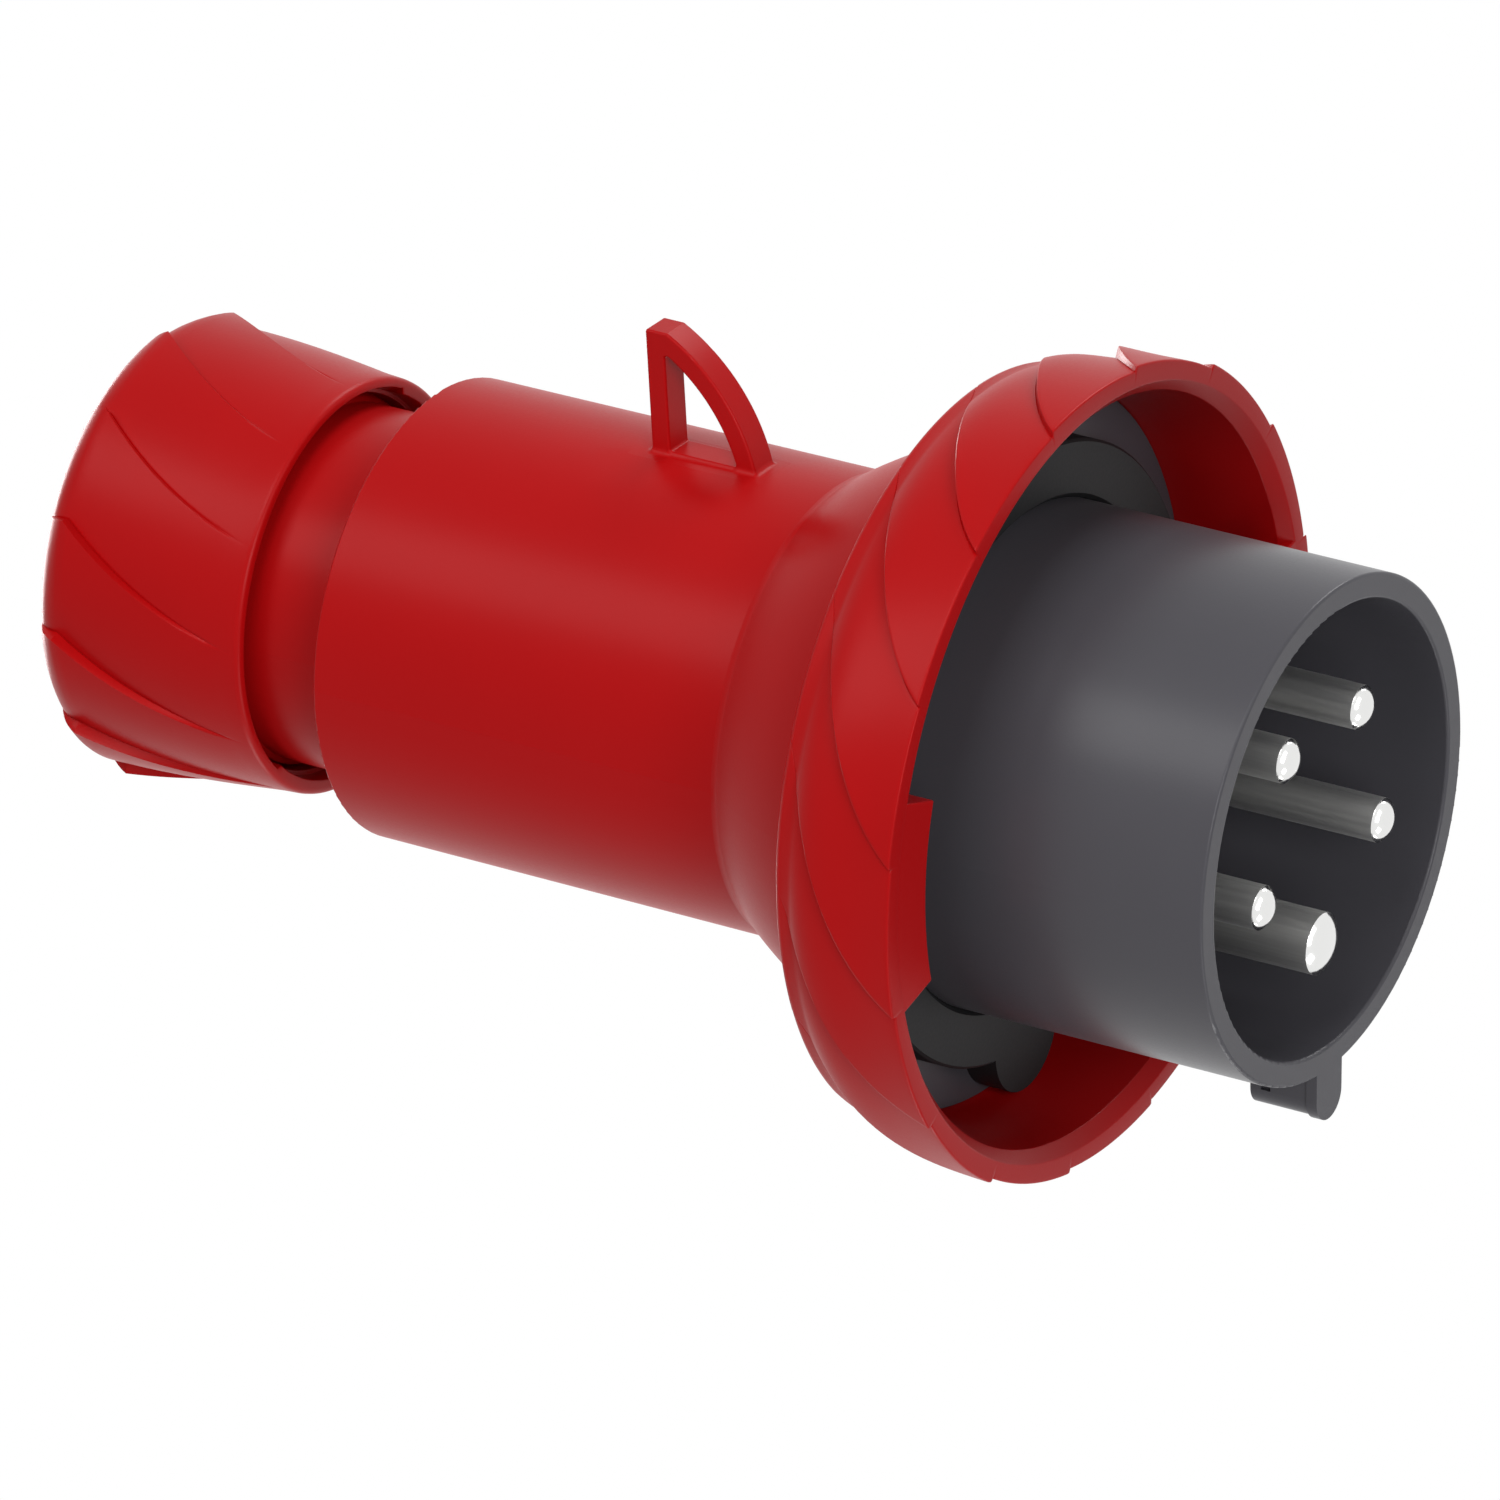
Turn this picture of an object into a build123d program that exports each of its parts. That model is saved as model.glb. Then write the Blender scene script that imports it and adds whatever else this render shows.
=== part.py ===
from build123d import *
import os
from math import atan, cos, degrees, radians, sin

# Industrial pin and sleeve plug, 16 A, three phases, neutral and earth, watertight type.
# The plug stands on the rim of its shroud. The origin is the centre of that rim, +Z runs
# along the plug to the cable gland, and -Y is the six o'clock side that carries the key and
# the earth pin. +Y is the side of the hanging loop. Lengths are in millimetres and angles
# in degrees.

# Shroud: the sleeve round the pins, in one piece with the flange of the insert
shroud_r = 28.5
shroud_wall = 2.9
shroud_depth = 40.0
rim_round = 0.35
pin_plate = 5.0

# Key at six o'clock on the rim
key_length = 8.4
key_width = 5.5
key_height = 5.9
key_groove_from = 5.9
key_groove_width = 1.2
key_groove_depth = 0.5
key_collar = 1.3
key_collar_step = 0.25

# Flange of the insert, the spigot that the coupling ring turns on, and the skirt
flange_height = 12.1
flange_set_back = 2.0
flange_edge = 1.2
spigot_height = 4.5
spigot_length = 1.9
skirt_step = 4.0
skirt_wall = 2.3
skirt_length = 11.0
skirt_lugs = 3
skirt_lug_arc = 14.0
skirt_lug_height = 1.3
skirt_lug_length = 2.4
skirt_twist = 24.0

# Rubber face seal round the shroud, with its tab at six o'clock
seal_height = 6.6
seal_length = 4.0
seal_tab_r = 6.6
seal_tab_height = 11.7
seal_lip_depth = 0.9
seal_lip_length = 1.2
seal_edge = 0.6

# Coupling ring: a bell with swirling, overlapping blades
ring_length = 13.4
ring_rim = 1.95
ring_taper = 3.1
ring_bow = 1.55
ring_mouth_chamfer = 1.4
ring_draft = 1.25
ring_flange_gap = 0.35
ring_web = 1.5
ring_rear_round = 1.9
ring_blades = 16
ring_blade_phase = 7.9
ring_blade_rise = 0.55
ring_blade_end_rise = 0.08
ring_blade_swell = 1.2
ring_blade_swirl = 0.925
ring_blade_curl = 0.087
ring_blade_overlap = 1.2
ring_blade_sections = 7

# Bayonet lugs inside the coupling ring
bayonet_count = 2
bayonet_clearance = 9.2
bayonet_from = -15.5
bayonet_to = 17.0
bayonet_thickness = 5.6
bayonet_ramp = 1.8

# Stops that limit the turn of the ring
ring_turn = 45.0
stop_count = 2
stop_at = 112.5
stop_arc = 9.0
stop_depth = 1.3

# Housing
bulge_height = 6.2
bulge_length = 16.8
bulge_rise = 0.8
bulge_fillet = 1.6
barrel_step = 2.2
barrel_draft = 0.2
barrel_wall = 2.8
barrel_edge = 0.35
housing_length = 68.4
core_wall = 2.4
core_depth = 7.5
core_pockets = 12
core_rib = 3.5
neck_r = 20.4
neck_wall = 4.5
neck_length = 24.5
seal_seat_depth = 12.0
throat_lip = 2.9
throat_length = 11.0
throat_cone = 10.0
thread_length = 10.5
thread_height = 0.55

# Hanging loop on the top of the housing
loop_from = 26.3
loop_length = 13.2
loop_lean = 0.9
loop_height = 14.2
loop_flat = 2.7
loop_bar = 2.3
loop_width = 4.0
loop_arch = 1.9
loop_sink = 2.0
loop_edge = 0.3
loop_foot = 0.7
loop_saddle_depth = 0.6

# Gland nut: a cone with swirling ribs
nut_overhang = 1.4
nut_wall = 2.2
nut_flare = 1.35
nut_crease = 3.4
nut_front_edge = 0.8
nut_lip = 0.5
nut_lip_relief = 0.6
nut_lip_relief_from = -45.4
nut_lip_relief_to = 118.3
nut_lip_length = 2.6
nut_thread_gap = 0.55
nut_mouth_wall = 2.5
nut_mouth_gap = 0.2
nut_end_step = 0.05
nut_ribs = 12
nut_rib_phase = 26.9
nut_rib_rise = 1.4
nut_rib_end_rise = 0.06
nut_rib_swirl = 1.74
nut_rib_curl = 0.0265
nut_rib_length = 20.0
nut_rib_overlap = 1.5
nut_rib_sections = 5

# Clamping cage, thrust ring and the two rubber sleeves inside the gland
cage_ring_edge = 0.75
cage_ring_length = 2.2
cage_root_step = 2.5
cage_taper = 5.2
cage_length = 7.4
cage_wall = 2.2
cage_fingers = 12
cage_slot = 1.2
cage_dogs = 4
dog_width = 4.0
dog_length = 1.6
thrust_edge = 0.05
thrust_from_cage = 1.0
thrust_length = 7.0
thrust_bevel = 1.8
sleeve_wall = 5.0
sleeve_floor = 2.0
sleeve_floor_lip = 2.1
sleeve_reach = 6.0
reducer_wall = 2.8

# Contacts: pins on a circle, each with a screw terminal behind the plate
pin_circle_r = 13.75
phase_pin_r = 2.5
earth_pin_r = 3.5
pin_recess = 0.05
pin_dome = 1.15
pin_groove_ahead = 0.4
pin_groove_length = 1.2
pin_groove_depth = 0.2
pin_seal_wall = 1.5
pin_seal_length = 1.6
collar_extra = 1.7
collar_length = 1.6
barrel_extra = 1.5
earth_barrel_extra = 1.3
barrel_length = 19.0
phase_wire_r = 2.1
earth_wire_r = 2.5
wire_depth = 15.0
terminal_screw_r = 1.95
terminal_screw_length = 4.6
terminal_screw_slot = 0.8
terminal_screw_slot_depth = 1.0
terminal_screw_places = (4.0, 10.0)
guard_thickness = 0.6
guard_length = 12.0

# Contact carrier behind the pin plate, with its one screw
carrier_disc = 4.0
carrier_length = 21.0
carrier_wall = 1.8
carrier_fin = 1.8
carrier_fin_reach = 7.1
carrier_hub_r = 5.4
carrier_screw_r = 1.95
carrier_screw_bite = 3.4
carrier_head_r = 3.5
carrier_head = 2.4
carrier_head_sink = 2.8

# Gasket between the insert and the housing
gasket_offset = 2.6
gasket_section_r = 0.9

# Clearances
fit_gap = 0.03
assembly_gap = 0.15
running_gap = 0.25
turning_gap = 0.3
stop_gap = 0.7

# Radii that follow from the sizes above
shroud_bore_r = shroud_r - shroud_wall
key_reach = shroud_r + key_height
seal_r = shroud_r + seal_height
seal_tab_at = shroud_r + seal_tab_height - seal_tab_r
flange_r = shroud_r + flange_height
spigot_r = shroud_r + spigot_height
skirt_r = shroud_r - skirt_step
gasket_r = skirt_r + gasket_offset
bayonet_inner_r = shroud_r + bayonet_clearance
ring_wall_rear_r = flange_r + ring_flange_gap
ring_wall_front_r = ring_wall_rear_r + ring_draft
ring_mouth_r = ring_wall_front_r + ring_mouth_chamfer
ring_front_r = ring_mouth_r + ring_rim
ring_rear_r = ring_front_r - ring_taper
bulge_front_r = shroud_r + bulge_height
barrel_front_r = shroud_r - barrel_step
barrel_rear_r = barrel_front_r - barrel_draft
chamber_r = barrel_rear_r - barrel_wall
loop_top = barrel_front_r + loop_height
loop_root = barrel_front_r - loop_sink
neck_bore_r = neck_r - neck_wall
throat_r = neck_bore_r - throat_lip
thread_r = neck_r + thread_height
nut_bore_r = thread_r + nut_thread_gap
nut_lip_r = nut_bore_r + nut_lip
nut_front_r = nut_bore_r + nut_wall
nut_rear_r = nut_front_r + nut_flare
nut_end_r = nut_rear_r - nut_crease + nut_end_step
cage_ring_r = thread_r - cage_ring_edge
cage_root_r = neck_bore_r + cage_root_step
cage_tip_r = cage_root_r - cage_taper
nut_mouth_r = cage_tip_r + nut_mouth_gap
thrust_r = thread_r - thrust_edge
sleeve_r = neck_bore_r - assembly_gap
reducer_r = sleeve_r - sleeve_wall - fit_gap
sleeve_floor_r = reducer_r - sleeve_floor_lip
phase_barrel_r = phase_pin_r + barrel_extra
earth_barrel_r = earth_pin_r + earth_barrel_extra
carrier_fin_r = pin_circle_r + carrier_fin_reach

# Heights that follow from the sizes above
plate_back = shroud_depth + pin_plate
flange_front = shroud_depth + flange_set_back
flange_back = flange_front + flange_edge
ring_front = flange_front - ring_length
ring_web_front = flange_back + running_gap
ring_rear = ring_web_front + ring_web
ring_blade_end = ring_rear - ring_rear_round
housing_front = flange_back + spigot_length
skirt_end = housing_front + skirt_length
bulge_end = housing_front + bulge_length
loop_front_z = housing_front + loop_from
loop_rear_z = loop_front_z + loop_length
barrel_end = housing_front + housing_length
neck_end = barrel_end + neck_length
seal_seat = neck_end - seal_seat_depth
thread_from = neck_end - thread_length
throat_cone_to = seal_seat - throat_length
throat_cone_from = throat_cone_to - throat_cone
carrier_end = plate_back + carrier_length
terminal_end = plate_back + collar_length + barrel_length
cage_cone_from = neck_end + cage_ring_length
cage_slope = cage_taper / cage_length
thrust_from = cage_cone_from + thrust_from_cage
thrust_end = thrust_from + thrust_length
sleeve_end = cage_cone_from + sleeve_reach
nut_front = seal_seat - nut_overhang
nut_end = thrust_end + turning_gap + nut_mouth_wall
nut_crease_z = nut_end - nut_crease

# Each pin's radius, barrel radius and wire bore, and its place, from the earth pin round to the first phase
phase_sizes = (phase_pin_r, phase_barrel_r, phase_wire_r)
earth_sizes = (earth_pin_r, earth_barrel_r, earth_wire_r)
pin_sizes = {"pe": earth_sizes, "n": phase_sizes, "l3": phase_sizes, "l2": phase_sizes, "l1": phase_sizes}
pin_step = 360 / len(pin_sizes)
pin_angles = {name: -90 + pin_step * index for index, name in enumerate(pin_sizes)}

os.makedirs("parts", exist_ok=True)


def write(shape, node):
    """Write one sub-part to its own file."""
    export_step(shape, f"parts/{node}.step")


def polar(radius, angle, z=0.0):
    """Point at a radius and an angle round the plug's axis."""
    return Vector(radius * cos(radians(angle)), radius * sin(radians(angle)), z)


def turned(*corners):
    """Solid of revolution about Z from (radius, z) corners."""
    points = [(radius, 0, z) for radius, z in corners]
    return revolve(make_face(Polyline(*points, close=True)), Axis.Z)


def spun(lines):
    """Solid of revolution about Z from lines and arcs drawn in (radius, z)."""
    return revolve(Rot(90, 0, 0) * make_face(lines), Axis.Z)


def tube(outer, inner, low, high):
    """Plain ring between two heights."""
    return turned((inner, low), (outer, low), (outer, high), (inner, high))


def rod(radius, low, high):
    """Round bar on the axis between two heights."""
    return Pos(0, 0, low) * Cylinder(radius, high - low, align=(Align.CENTER, Align.CENTER, Align.MIN))


def radial_rod(radius, start, end, z):
    """Round bar along +X between two distances from the axis, at one height."""
    bar = Cylinder(radius, end - start, align=(Align.CENTER, Align.CENTER, Align.MIN))
    return Pos(start, 0, z) * Rot(0, 90, 0) * bar


def block(x_size, y_size, z_size, x_low, z_low):
    """Box centred on the XZ plane, from given lowest x and z."""
    corner = (Align.MIN, Align.CENTER, Align.MIN)
    return Pos(x_low, 0, z_low) * Box(x_size, y_size, z_size, align=corner)


def sector_wire(inner, start, end, z, outer_start, outer_end):
    """Outline of a ring sector whose outer edge may change its radius on the way."""
    middle = (start + end) / 2
    outer_middle = (outer_start + outer_end) / 2
    return Wire([
        Line(polar(inner, start, z), polar(outer_start, start, z)),
        ThreePointArc(polar(outer_start, start, z), polar(outer_middle, middle, z), polar(outer_end, end, z)),
        Line(polar(outer_end, end, z), polar(inner, end, z)),
        ThreePointArc(polar(inner, end, z), polar(inner, middle, z), polar(inner, start, z)),
    ])


def arc_block(inner, outer, start, end, low, high):
    """Sector of a ring, from one angle to another, between two heights."""
    outline = make_face(sector_wire(inner, start, end, low, outer, outer))
    return extrude(outline, high - low, dir=(0, 0, 1))


def round_copies(shape, count, phase=0.0):
    """Copies of a shape, evenly spaced round the axis."""
    return [Rot(0, 0, phase + 360 / count * index) * shape for index in range(count)]


def rounded(shape, radius, low, high):
    """Round the circular edges about Z that lie between two heights."""
    edges = shape.edges().filter_by(GeomType.CIRCLE).filter_by_position(Axis.Z, low, high)
    return fillet(edges, radius)


def at_pin(shape, name):
    """Place a shape made at the origin on the axis of a pin, with +X pointing outwards."""
    return Rot(0, 0, pin_angles[name]) * Pos(pin_circle_r, 0, 0) * shape


def front_insert():
    """Shroud, pin plate, flange, spigot and skirt in one moulding, with the key on its rim."""
    body = turned(
        (0, shroud_depth), (shroud_bore_r, shroud_depth), (shroud_bore_r, 0), (shroud_r, 0),
        (shroud_r, flange_front), (flange_r, flange_front), (flange_r, flange_back),
        (spigot_r, flange_back), (spigot_r, housing_front), (skirt_r, housing_front),
        (skirt_r, skirt_end), (skirt_r - skirt_wall, skirt_end),
        (skirt_r - skirt_wall, plate_back), (0, plate_back),
    )
    body = rounded(body, rim_round, -rim_round / 2, rim_round / 2)
    seal_groove_low = flange_front - seal_lip_length
    body -= tube(shroud_r + 1, shroud_r - seal_lip_depth, seal_groove_low, flange_front)
    body += key()
    # Recesses in the spigot where the stops of the coupling ring travel
    travel_from = stop_at - ring_turn - stop_arc / 2 - stop_gap
    travel_to = stop_at + stop_arc / 2 + stop_gap
    recess_r = spigot_r - stop_depth - turning_gap
    recess = arc_block(recess_r, spigot_r + 1, travel_from, travel_to, flange_back, housing_front)
    body -= round_copies(recess, stop_count)
    # Bayonet lugs on the skirt that lock the insert in the housing
    lug_low = skirt_end - skirt_lug_length
    lug = arc_block(skirt_r - 0.5, skirt_r + skirt_lug_height, 0, skirt_lug_arc, lug_low, skirt_end)
    body += round_copies(lug, skirt_lugs)
    for name, (pin_r, _, _) in pin_sizes.items():
        seat_r = pin_r + pin_seal_wall + fit_gap
        hole = rod(pin_r + fit_gap, shroud_depth - 1, plate_back + 1)
        hole += rod(seat_r, plate_back - pin_seal_length - fit_gap, plate_back + 1)
        body -= at_pin(hole, name)
    body -= rod(carrier_screw_r + fit_gap, plate_back - carrier_screw_bite - fit_gap, plate_back + 1)
    return body


def key():
    """Key at six o'clock: a round-ended fin with a collar at the rim and a groove across each side."""
    half = key_width / 2
    root_r = shroud_r - shroud_wall / 2
    fin = block(key_reach - half - root_r, key_width, key_length, root_r, 0)
    fin += Pos(key_reach - half, 0, 0) * rod(half, 0, key_length)
    slim = half - key_collar_step
    keep = block(key_reach - half - root_r, 2 * slim, key_length, root_r, 0)
    keep += Pos(key_reach - half, 0, 0) * rod(slim, 0, key_length)
    keep += rod(key_reach + 1, -1, key_collar)
    fin &= keep
    for side in (-1, 1):
        groove = block(key_reach - shroud_r - half, 2 * key_groove_depth, key_groove_width,
                       shroud_r, key_groove_from)
        fin -= Pos(0, side * slim, 0) * groove
    return Rot(0, 0, -90) * fin


def face_seal():
    """Rubber collar on the shroud in front of the flange, with a lip in a groove and a tab below."""
    low = flange_front - seal_length
    collar = turned(
        (shroud_r + seal_edge, low), (seal_r - seal_edge / 2, low), (seal_r, low + seal_edge / 2),
        (seal_r, flange_front - fit_gap),
        (shroud_r - seal_lip_depth + fit_gap, flange_front - fit_gap),
        (shroud_r - seal_lip_depth + fit_gap, flange_front - seal_lip_length + fit_gap),
        (shroud_r + fit_gap, flange_front - seal_lip_length + fit_gap),
        (shroud_r + fit_gap, low + seal_edge),
    )
    tab = Rot(0, 0, -90) * Pos(seal_tab_at, 0, 0) * rod(seal_tab_r, low, flange_front - fit_gap)
    tab -= rod(seal_r - 1, low - 1, flange_front + 1)
    return collar + tab


def ring_outside_r(depth):
    """Low radius of the ring's outside at a depth behind its front face."""
    share = depth / (ring_blade_end - ring_front)
    return ring_front_r - (ring_front_r - ring_rear_r) * share ** ring_bow


def ring_blade():
    """One blade of the ring: its outer edge climbs round the ring and drops at the next blade."""
    sections = []
    for index in range(ring_blade_sections):
        share = index / (ring_blade_sections - 1)
        z = ring_front + (ring_blade_end - ring_front) * share
        depth = z - ring_front
        high_end = ring_blade_phase + ring_blade_swirl * depth + ring_blade_curl * depth ** 2
        low_end = high_end + 360 / ring_blades + ring_blade_overlap
        low = ring_outside_r(depth)
        swell = ring_blade_swell * 6.75 * share ** 2 * (1 - share)
        rise = ring_blade_rise + (ring_blade_end_rise - ring_blade_rise) * share + swell
        outline = sector_wire(bayonet_inner_r, high_end, low_end, z, low + rise, low)
        sections.append(make_face(outline))
    return loft(sections)


def coupling_ring():
    """Bell with swirling blades outside, bayonet lugs inside and a web that runs on the spigot."""
    rear_r = ring_outside_r(ring_blade_end - ring_front) + ring_blade_end_rise / 2
    web_bore_r = spigot_r + running_gap
    rear = spun([
        TangentArc((rear_r, ring_blade_end), (rear_r - ring_rear_round, ring_rear), tangent=(0, 1)),
        Polyline((rear_r - ring_rear_round, ring_rear), (web_bore_r, ring_rear), (web_bore_r, ring_web_front),
                 (bayonet_inner_r, ring_web_front), (bayonet_inner_r, ring_blade_end),
                 (rear_r, ring_blade_end)),
    ])
    bell = Part() + round_copies(ring_blade(), ring_blades) + rear
    bell -= turned(
        (0, ring_front - 1), (ring_mouth_r + 1, ring_front - 1), (ring_mouth_r, ring_front),
        (ring_wall_front_r, ring_front + ring_mouth_chamfer), (ring_wall_rear_r, ring_web_front),
        (0, ring_web_front),
    )
    bell += round_copies(bayonet_lug(), bayonet_count)
    stop = arc_block(spigot_r - stop_depth, web_bore_r + 0.5, stop_at - stop_arc / 2,
                     stop_at + stop_arc / 2, ring_web_front, ring_rear)
    return bell + round_copies(stop, stop_count)


def bayonet_lug():
    """Inward lug with a sloping back that draws the plug in as the ring is turned."""
    lug = arc_block(bayonet_inner_r, (ring_mouth_r + ring_front_r) / 2, bayonet_from, bayonet_to,
                    ring_front, ring_front + bayonet_thickness)
    middle = (bayonet_from + bayonet_to) / 2
    arc_length = radians(bayonet_to - bayonet_from) * bayonet_inner_r
    slope = degrees(atan(bayonet_ramp / arc_length))
    waste = block(ring_front_r, 2 * arc_length, bayonet_thickness, 0, 0)
    waste = Pos(0, 0, ring_front + bayonet_thickness - bayonet_ramp / 2) * Rot(slope, 0, 0) * waste
    return lug - Rot(0, 0, middle) * waste


def housing_outside():
    """Outer form of the housing, still solid: bulge behind the ring, long barrel and gland neck."""
    shell = spun([
        Line((0, housing_front), (bulge_front_r, housing_front)),
        SagittaArc((bulge_front_r, housing_front), (barrel_front_r, bulge_end), -bulge_rise),
        Polyline((barrel_front_r, bulge_end), (barrel_rear_r, barrel_end), (neck_r, barrel_end),
                 (neck_r, thread_from), (thread_r, thread_from + thread_r - neck_r),
                 (thread_r, neck_end), (0, neck_end), (0, housing_front)),
    ])
    shell = rounded(shell, bulge_fillet, bulge_end - 0.1, bulge_end + 0.1)
    rim = shell.edges().filter_by(GeomType.CIRCLE).filter_by_position(Axis.Z, barrel_end, barrel_end)
    return fillet(rim.sort_by(SortBy.RADIUS)[-1], barrel_edge)


def housing():
    """Housing moulding: its outer form with the chamber, the bores and the pockets cut out."""
    shell = housing_outside() - loop_room()
    shell -= turned(
        (0, housing_front), (skirt_r + assembly_gap, housing_front),
        (skirt_r + assembly_gap, skirt_end + running_gap), (chamber_r, skirt_end + running_gap),
        (chamber_r, throat_cone_from), (throat_r, throat_cone_to), (throat_r, seal_seat),
        (neck_bore_r, seal_seat), (neck_bore_r, neck_end), (0, neck_end),
    )
    shell -= tube(gasket_r + gasket_section_r + fit_gap, gasket_r - gasket_section_r - fit_gap,
                  housing_front, housing_front + 2 * gasket_section_r)
    shell -= core_cuts()
    shell -= bayonet_slots()
    notch = block(thread_r, dog_width + assembly_gap, dog_length + assembly_gap,
                  0, neck_end - dog_length - assembly_gap)
    shell -= round_copies(notch, cage_dogs)
    return shell


def core_cuts():
    """Pockets that core out the thick ring of plastic under the bulge, with ribs between them."""
    inner = gasket_r + gasket_section_r + 1.2
    outer = bulge_front_r - core_wall
    slim = (bulge_front_r - barrel_front_r) / (bulge_end - housing_front) * core_depth
    pocket_ring = turned(
        (inner, housing_front), (outer, housing_front), (outer - slim, housing_front + core_depth),
        (inner, housing_front + core_depth),
    )
    span = 360 / core_pockets
    rib = block(bulge_front_r, core_rib, core_depth + 1, 0, housing_front)
    for copy in round_copies(rib, core_pockets, span / 2):
        pocket_ring -= copy
    return pocket_ring


def bayonet_slots():
    """Slots in the housing's bore: straight in for the lugs of the skirt, then round to lock them."""
    slot_r = skirt_r + skirt_lug_height + assembly_gap
    low = skirt_end - skirt_lug_length - assembly_gap
    high = skirt_end + running_gap
    entry = arc_block(skirt_r - 1, slot_r, skirt_twist - 1, skirt_twist + skirt_lug_arc + 1, housing_front, high)
    entry += arc_block(skirt_r - 1, slot_r, -1, skirt_twist + skirt_lug_arc + 1, low, high)
    return round_copies(entry, skirt_lugs)


def hanging_loop():
    """Hanging loop on a thin saddle of the barrel's wall, with its feet rounded into it."""
    return fillet(foot_edges(housing_outside() + loop()), loop_foot) & loop_room()


def loop_room():
    """Room of the loop and its saddle, which the rest of the housing leaves free."""
    margin = 2 * loop_foot
    length = loop_length + loop_lean + 2 * margin
    room = block(loop_top + 1, loop_width + 2 * margin, length, 0, loop_front_z - margin)
    return Rot(0, 0, 90) * room - rod(barrel_rear_r - loop_saddle_depth, housing_front, barrel_end)


def loop():
    """Bar of the loop: a straight rear leg, a flat top corner and an arched front leg."""
    rear_top = loop_rear_z + loop_lean
    outline = make_face([
        SagittaArc((barrel_front_r, loop_front_z), (loop_top, rear_top - loop_flat), -loop_arch),
        Polyline((loop_top, rear_top - loop_flat), (loop_top, rear_top), (barrel_front_r, loop_rear_z),
                 (loop_root, loop_rear_z), (loop_root, loop_front_z), (barrel_front_r, loop_front_z)),
    ])
    bar = outline - offset(outline, -loop_bar)
    bar = Rot(0, 0, 90) * Rot(90, 0, 0) * extrude(bar, loop_width / 2, both=True)
    return fillet([edge for edge in bar.edges() if edge.center().Y > loop_root + loop_edge], loop_edge)


def foot_edges(shell):
    """Edges where the legs of the loop stand on the barrel."""
    feet = []
    for edge in shell.edges():
        middle = edge.center()
        radius = (middle.X ** 2 + middle.Y ** 2) ** 0.5
        beside = abs(middle.X) < 0.75 * loop_width and middle.Y > 0
        along = loop_front_z - loop_bar < middle.Z < loop_rear_z + loop_lean
        if beside and along and barrel_rear_r - loop_foot < radius < barrel_front_r + loop_foot:
            feet.append(edge)
    return feet


def gasket():
    """Round rubber ring in the front groove of the housing."""
    return Pos(0, 0, housing_front + gasket_section_r) * Torus(gasket_r, gasket_section_r - fit_gap)


def contact_carrier():
    """Insulating block that clamps the pins' collars and walls the terminals off from each other."""
    low = plate_back + fit_gap
    body = rod(skirt_r - skirt_wall - turning_gap, low, plate_back + carrier_disc)
    body += rod(carrier_hub_r, low, carrier_end)
    fins = block(carrier_fin_r, carrier_fin, carrier_length - fit_gap, 0, low)
    body += round_copies(fins, len(pin_sizes), -90 + pin_step / 2)
    for name, (_, barrel_r, _) in pin_sizes.items():
        body += at_pin(rod(barrel_r + assembly_gap + carrier_wall, low, carrier_end), name)
    for name, (pin_r, barrel_r, _) in pin_sizes.items():
        cut = rod(barrel_r + assembly_gap, low - 1, carrier_end + 1)
        cut += rod(pin_r + collar_extra + fit_gap, low - 1, plate_back + collar_length + fit_gap)
        for place in terminal_screw_places:
            height = plate_back + collar_length + barrel_length - place
            cut += radial_rod(terminal_screw_r + assembly_gap, 0, barrel_r + 2 * carrier_wall + 2, height)
        body -= at_pin(cut, name)
    body -= rod(carrier_screw_r + assembly_gap, low - 1, carrier_end + 1)
    body -= rod(carrier_head_r + assembly_gap, carrier_end - carrier_head_sink, carrier_end + 1)
    return body


def carrier_screw():
    """Screw through the hub of the carrier into the pin plate, with a slotted head."""
    seat = carrier_end - carrier_head_sink
    body = rod(carrier_screw_r, plate_back - carrier_screw_bite, seat)
    head = rod(carrier_head_r, seat, seat + carrier_head)
    head = chamfer(head.edges().group_by(Axis.Z)[-1], carrier_head / 4)
    slot = Pos(-carrier_head_r - 1, 0, 0) * block(2 * carrier_head_r + 2, terminal_screw_slot,
                                                  carrier_head, 0, seat + carrier_head / 2)
    return body + (head - slot)


def pin(pin_r, barrel_r, wire_r):
    """Turned pin: domed end, collar behind the plate and a barrel bored for the wire."""
    back = plate_back + fit_gap
    collar_top = back + collar_length - fit_gap
    end = terminal_end
    collar_r = pin_r + collar_extra
    shoulder = pin_recess + pin_dome
    groove = shroud_depth - pin_groove_ahead
    groove_r = pin_r - pin_groove_depth
    body = spun([
        TangentArc((0, pin_recess), (pin_r, shoulder), tangent=(1, 0)),
        Polyline((pin_r, shoulder), (pin_r, groove), (groove_r, groove), (groove_r, groove + pin_groove_length),
                 (pin_r, groove + pin_groove_length), (pin_r, back), (collar_r, back), (collar_r, collar_top),
                 (barrel_r, collar_top), (barrel_r, end), (wire_r, end), (wire_r, end - wire_depth),
                 (0, end - wire_depth), (0, pin_recess)),
    ])
    for place in terminal_screw_places:
        body -= radial_rod(terminal_screw_r + fit_gap, 0, barrel_r + 1, end - place)
    return body


def terminal_screws():
    """Two slotted grub screws in each terminal, driven from outside towards the wire."""
    screws = []
    for name, (_, _, wire_r) in pin_sizes.items():
        for place in terminal_screw_places:
            start = wire_r - guard_thickness / 2 + fit_gap
            height = terminal_end - place
            screw = radial_rod(terminal_screw_r, start, start + terminal_screw_length, height)
            slot = block(terminal_screw_slot_depth, 3 * terminal_screw_r, terminal_screw_slot,
                         start + terminal_screw_length - terminal_screw_slot_depth,
                         height - terminal_screw_slot / 2)
            screws.append(at_pin(screw - slot, name))
    return Compound(children=screws)


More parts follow.
